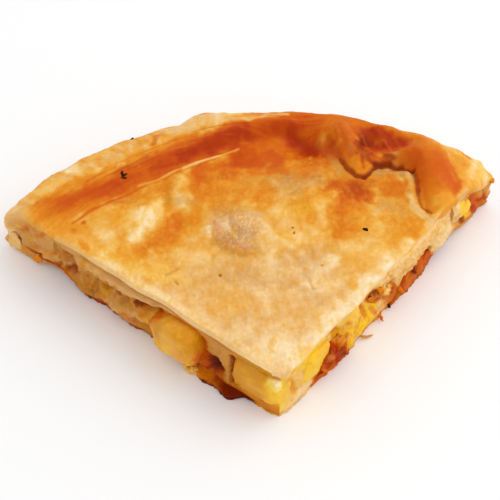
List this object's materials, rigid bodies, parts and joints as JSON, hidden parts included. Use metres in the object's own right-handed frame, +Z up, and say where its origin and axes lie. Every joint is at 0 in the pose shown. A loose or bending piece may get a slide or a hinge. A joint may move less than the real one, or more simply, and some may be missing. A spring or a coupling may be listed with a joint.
{
  "type": "potato borek slice",
  "caption": "Hand-cut slice of a round pan pie of thin layered dough with a browned folded rim, stuffed with potato and onion that show at both cuts.",
  "frame": {"origin": "on the flat underside, under the slice's middle line, half way from the pan's centre at the tip to the pan's wall", "axes": "+Z up, +Y along the middle line from the tip to the rolled rim, +X to the right across the slice"},
  "size_m": [0.2109, 0.1458, 0.0354],
  "materials": {
    "golden_crust": "baked golden dough, patchy cream to red-brown, with a thin sheen of oil",
    "potato_mash": "soft moist dough and mashed potato, tan to yellow",
    "browned_crust": "dark red-brown fried dough with a slight gloss",
    "potato_flesh": "boiled yellow potato, moist",
    "browned_onion": "fried onion, red-brown and oily"
  },
  "bodies": {
    "root": {"crust_top": "golden_crust", "filling": "potato_mash", "crust_bottom": "browned_crust", "potato_tip": "potato_flesh", "potato_left": "potato_flesh", "potato_right": "potato_flesh", "potato_rim": "potato_flesh", "onion_near": "browned_onion", "onion_far": "browned_onion"}
  },
  "joints": []
}
